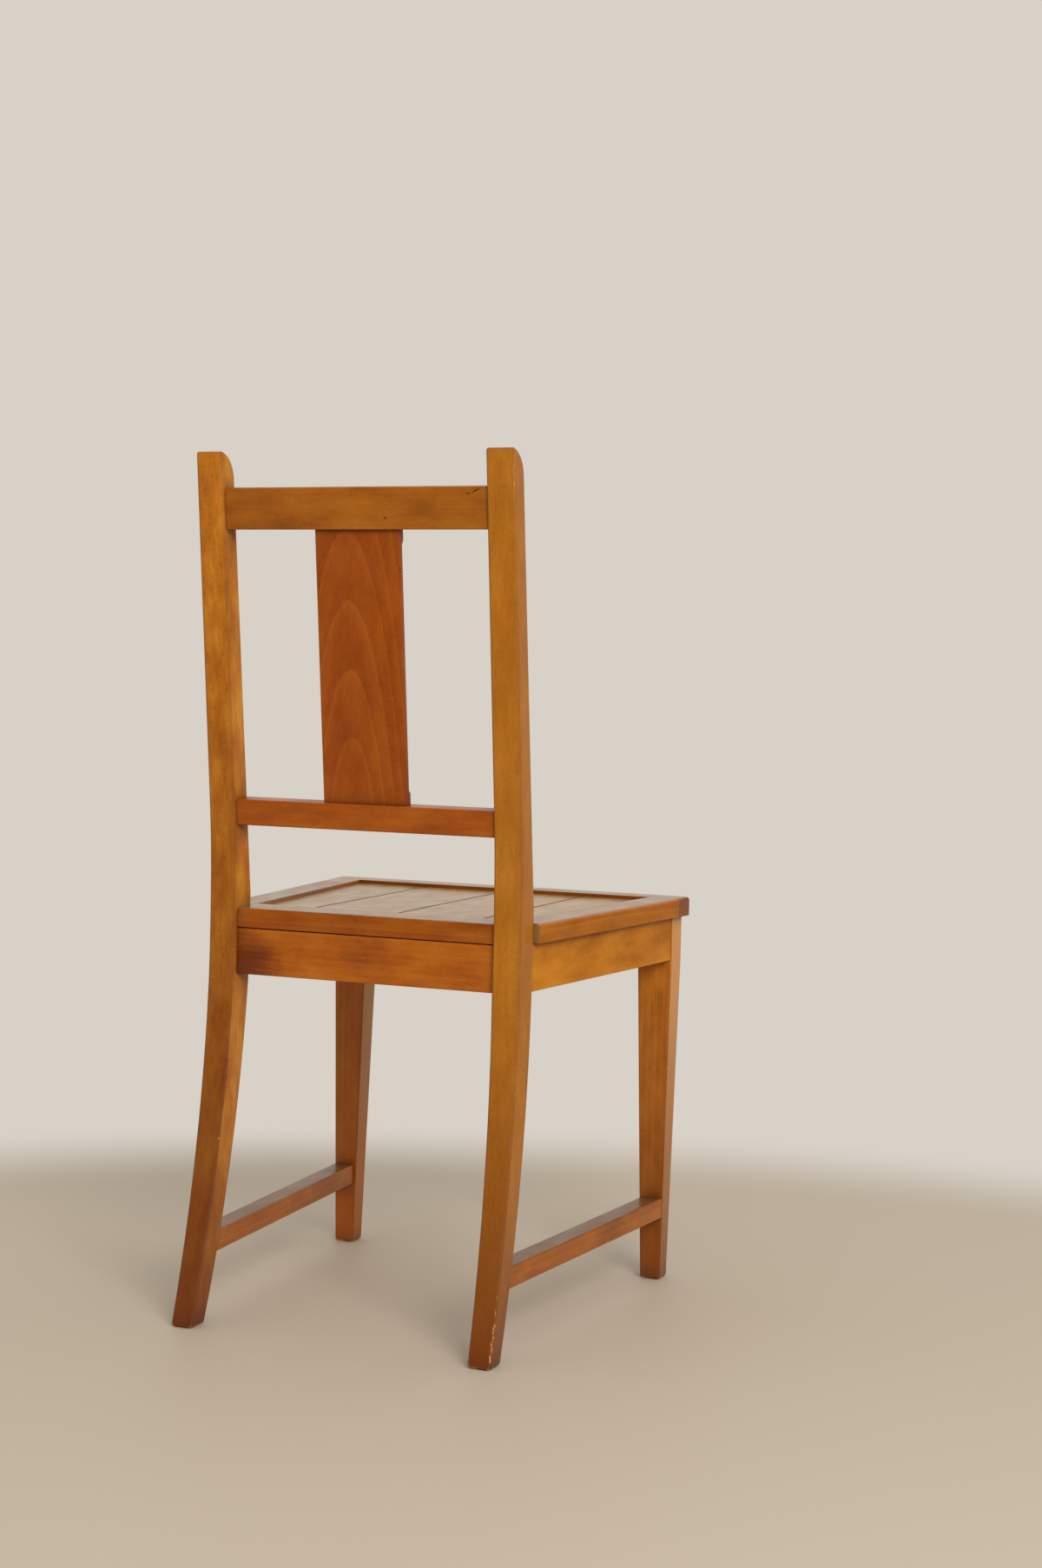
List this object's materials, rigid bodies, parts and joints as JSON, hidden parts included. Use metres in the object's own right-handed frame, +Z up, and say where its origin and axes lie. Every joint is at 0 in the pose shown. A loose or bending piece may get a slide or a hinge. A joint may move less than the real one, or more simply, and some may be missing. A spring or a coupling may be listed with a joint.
{
  "type": "wooden dining chair",
  "caption": "Varnished wooden dining chair with raked rear posts, a wide flat splat between the back rails, and a boarded panel seat on tapered legs with side stretchers.",
  "frame": {"origin": "on the floor, in the middle of the chair's width and of its whole depth", "axes": "+Z up; -Y the way the sitter faces, so the back of the chair is at +Y; +X to the sitter's left"},
  "size_m": [0.4492, 0.462, 0.92],
  "materials": {
    "post_wood": "honey-brown gloss varnish on beech, worn along the edges",
    "leg_wood": "honey-brown gloss varnish on beech, darker near the floor",
    "rail_wood": "red-brown gloss varnish on beech",
    "splat_wood": "red-brown gloss varnish over cathedral grain",
    "apron_wood": "dark red-brown gloss varnish on beech",
    "seat_wood": "red-brown gloss varnish, worn at the edges",
    "board_wood": "honey-brown gloss varnish, dulled by use",
    "block_wood": "bare sawn beech",
    "screw_steel": "bright zinc-plated steel"
  },
  "bodies": {
    "root": {"left_rear_leg": "post_wood", "right_rear_leg": "post_wood", "left_front_leg": "leg_wood", "right_front_leg": "leg_wood", "crest_rail": "rail_wood", "lower_back_rail": "rail_wood", "back_splat": "splat_wood", "rear_apron": "apron_wood", "front_apron": "apron_wood", "left_side_apron": "apron_wood", "right_side_apron": "apron_wood", "left_stretcher": "leg_wood", "right_stretcher": "leg_wood", "seat_rear_rail": "seat_wood", "seat_front_rail": "seat_wood", "seat_left_rail": "seat_wood", "seat_right_rail": "seat_wood", "seat_board_1": "board_wood", "seat_board_2": "board_wood", "seat_board_3": "board_wood", "seat_board_4": "board_wood", "rear_left_block": "block_wood", "rear_right_block": "block_wood", "front_left_block": "block_wood", "front_right_block": "block_wood", "block_screws": "screw_steel", "seat_screws": "screw_steel"}
  },
  "joints": []
}
